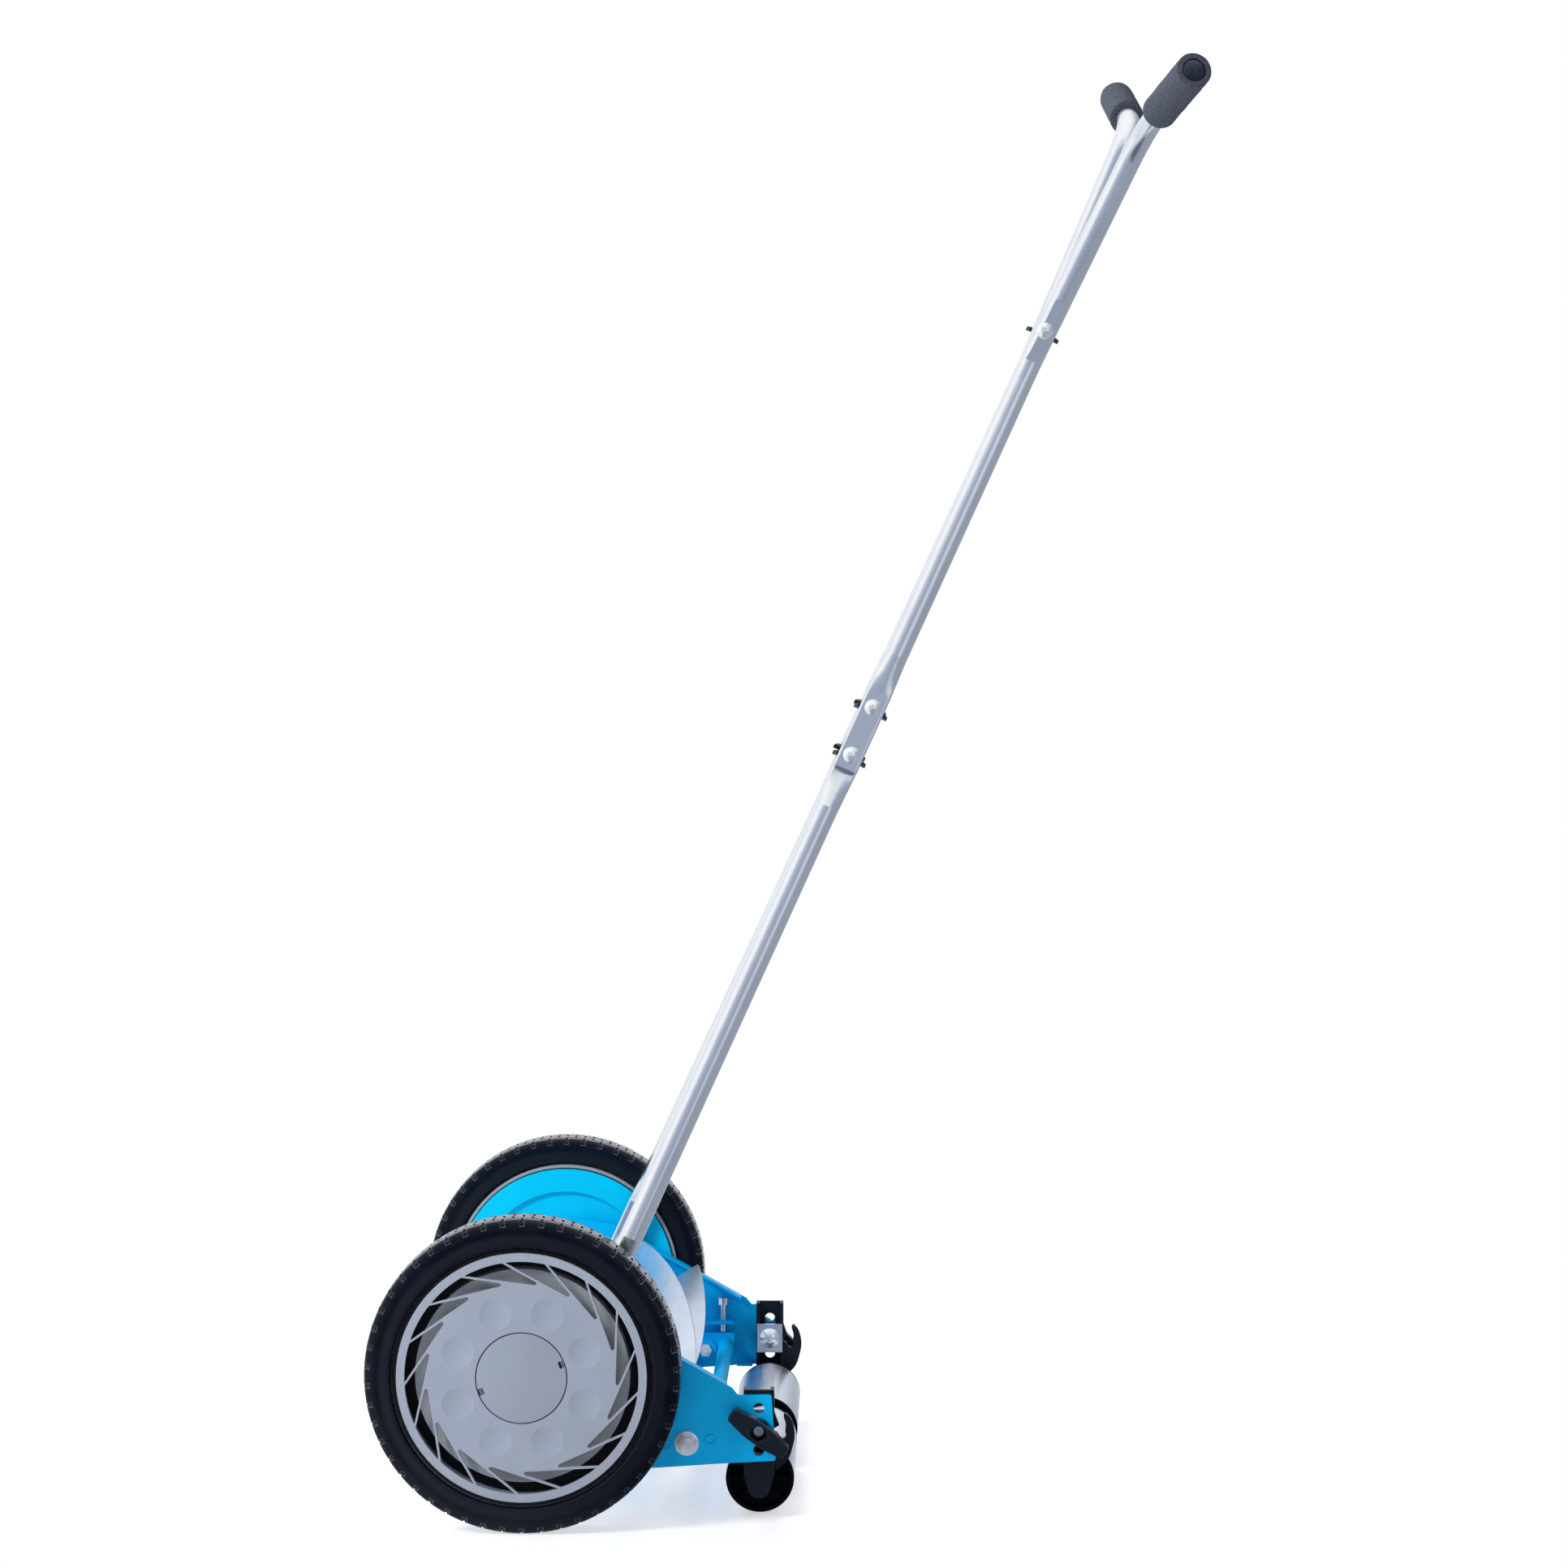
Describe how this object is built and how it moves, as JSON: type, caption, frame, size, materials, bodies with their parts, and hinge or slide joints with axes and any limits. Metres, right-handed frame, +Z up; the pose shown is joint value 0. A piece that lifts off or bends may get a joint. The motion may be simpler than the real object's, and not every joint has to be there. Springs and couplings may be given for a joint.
{
  "type": "reel mower",
  "caption": "Hand-pushed reel mower with gear-driven wheels, a spiral-bladed reel over a bed knife, a rear roller with height clamps and a swinging T-bar handle.",
  "frame": {"origin": "on the ground under the middle of the whole object", "axes": "+Z up, the front faces -Y, the operator stands at +Y, +X is the operator's left hand"},
  "size_m": [0.486, 0.679, 1.2055],
  "materials": {
    "tyre_rubber": "matt",
    "rim_plastic": "satin",
    "hubcap_plastic": "fine texture",
    "blue_paint": "semi-gloss",
    "blade_steel": "brushed",
    "zinc_steel": "zinc plated",
    "tube_steel": "satin",
    "black_plastic": "matt",
    "gear_plastic": "matt",
    "bearing_plastic": "matt",
    "grip_foam": "matt",
    "plug_plastic": "gloss"
  },
  "bodies": {
    "chassis": {"left_side_plate": "blue_paint", "right_side_plate": "blue_paint", "left_gear_cover": "blue_paint", "right_gear_cover": "blue_paint", "stub_axles": "zinc_steel", "axle_clips": "zinc_steel", "reel_bearings": "bearing_plastic", "front_tie_rod": "zinc_steel", "tie_rod_screws": "zinc_steel", "knife_pivot_bolts": "zinc_steel", "knife_pivot_nuts": "zinc_steel", "clamp_bolts": "zinc_steel", "clamp_plates": "zinc_steel", "handle_pivot_bolts": "zinc_steel", "handle_pivot_nuts": "zinc_steel"},
    "reel": {"reel_shaft": "zinc_steel", "reel_spiders": "blade_steel", "reel_blade_1": "blade_steel", "reel_blade_2": "blade_steel", "reel_blade_3": "blade_steel", "reel_blade_4": "blade_steel", "reel_blade_5": "blade_steel", "drive_pawls": "zinc_steel", "pinion_clips": "zinc_steel"},
    "knife": {"knife_carrier": "blue_paint", "bed_knife": "blade_steel", "knife_rivets": "zinc_steel"},
    "roller_carriage": {"left_roller_bracket": "black_plastic", "right_roller_bracket": "black_plastic", "roller_axle": "zinc_steel"},
    "handle": {"left_lower_tube": "tube_steel", "right_lower_tube": "tube_steel", "left_upper_tube": "tube_steel", "right_upper_tube": "tube_steel", "left_grip": "grip_foam", "right_grip": "grip_foam", "grip_plugs": "plug_plastic", "handle_bolts": "zinc_steel", "handle_wing_nuts": "black_plastic"},
    "left_wheel": {"left_tyre": "tyre_rubber", "left_wheel_rim": "rim_plastic", "left_hubcap": "hubcap_plastic", "left_centre_cap": "hubcap_plastic"},
    "left_drive_pinion": {"left_pinion": "gear_plastic"},
    "left_adjuster": {"left_adjusting_screw": "zinc_steel"},
    "left_roller": {"left_roller_tube": "tube_steel", "left_roller_caps": "black_plastic"},
    "left_knob": {"left_wing_knob": "black_plastic"},
    "right_wheel": {"right_tyre": "tyre_rubber", "right_wheel_rim": "rim_plastic", "right_hubcap": "hubcap_plastic", "right_centre_cap": "hubcap_plastic"},
    "right_drive_pinion": {"right_pinion": "gear_plastic"},
    "right_adjuster": {"right_adjusting_screw": "zinc_steel"},
    "right_roller": {"right_roller_tube": "tube_steel", "right_roller_caps": "black_plastic"},
    "right_knob": {"right_wing_knob": "black_plastic"}
  },
  "joints": [
    {"name": "left_wheel_spin", "type": "hinge", "parent": "chassis", "child": "left_wheel", "pos_m": [0.22, -0.21252, 0.127], "axis": [1, 0, 0], "continuous": true},
    {"name": "left_pinion_spin", "type": "hinge", "parent": "chassis", "child": "left_drive_pinion", "pos_m": [0.209, -0.14462, 0.11], "axis": [1, 0, 0], "continuous": true},
    {"name": "right_wheel_spin", "type": "hinge", "parent": "chassis", "child": "right_wheel", "pos_m": [-0.22, -0.21252, 0.127], "axis": [1, 0, 0], "continuous": true},
    {"name": "right_pinion_spin", "type": "hinge", "parent": "chassis", "child": "right_drive_pinion", "pos_m": [-0.209, -0.14462, 0.11], "axis": [1, 0, 0], "continuous": true},
    {"name": "reel_spin", "type": "hinge", "parent": "chassis", "child": "reel", "pos_m": [0, -0.14462, 0.11], "axis": [1, 0, 0], "continuous": true},
    {"name": "knife_tilt", "type": "hinge", "parent": "chassis", "child": "knife", "pos_m": [0, -0.08302, 0.064], "axis": [1, 0, 0], "range_deg": [0, 2.5]},
    {"name": "roller_height", "type": "slide", "parent": "chassis", "child": "roller_carriage", "axis": [0, 0, 1], "range_m": [-0.016, 0.016]},
    {"name": "left_roller_spin", "type": "hinge", "parent": "roller_carriage", "child": "left_roller", "pos_m": [0.0875, -0.02452, 0.028], "axis": [1, 0, 0], "continuous": true},
    {"name": "left_knob_turn", "type": "hinge", "parent": "chassis", "child": "left_knob", "pos_m": [0.2, -0.02452, 0.0755], "axis": [1, 0, 0], "range_deg": [-180, 180]},
    {"name": "left_adjuster_turn", "type": "hinge", "parent": "chassis", "child": "left_adjuster", "pos_m": [0.1835, -0.06702, 0.095], "axis": [0, 0, 1], "range_deg": [-180, 180]},
    {"name": "right_roller_spin", "type": "hinge", "parent": "roller_carriage", "child": "right_roller", "pos_m": [-0.0875, -0.02452, 0.028], "axis": [1, 0, 0], "continuous": true},
    {"name": "right_knob_turn", "type": "hinge", "parent": "chassis", "child": "right_knob", "pos_m": [-0.2, -0.02452, 0.0755], "axis": [1, 0, 0], "range_deg": [-180, 180]},
    {"name": "right_adjuster_turn", "type": "hinge", "parent": "chassis", "child": "right_adjuster", "pos_m": [-0.1835, -0.06702, 0.095], "axis": [0, 0, 1], "range_deg": [-180, 180]},
    {"name": "handle_swing", "type": "hinge", "parent": "chassis", "child": "handle", "pos_m": [0, -0.16052, 0.16], "axis": [1, 0, 0], "range_deg": [-45, 60]}
  ],
  "couplings": [
    {"joint": "left_pinion_spin", "follows": "left_wheel_spin", "ratio": 5.3077},
    {"joint": "right_pinion_spin", "follows": "right_wheel_spin", "ratio": 5.3077},
    {"joint": "reel_spin", "follows": "left_wheel_spin", "ratio": 5.3077}
  ]
}
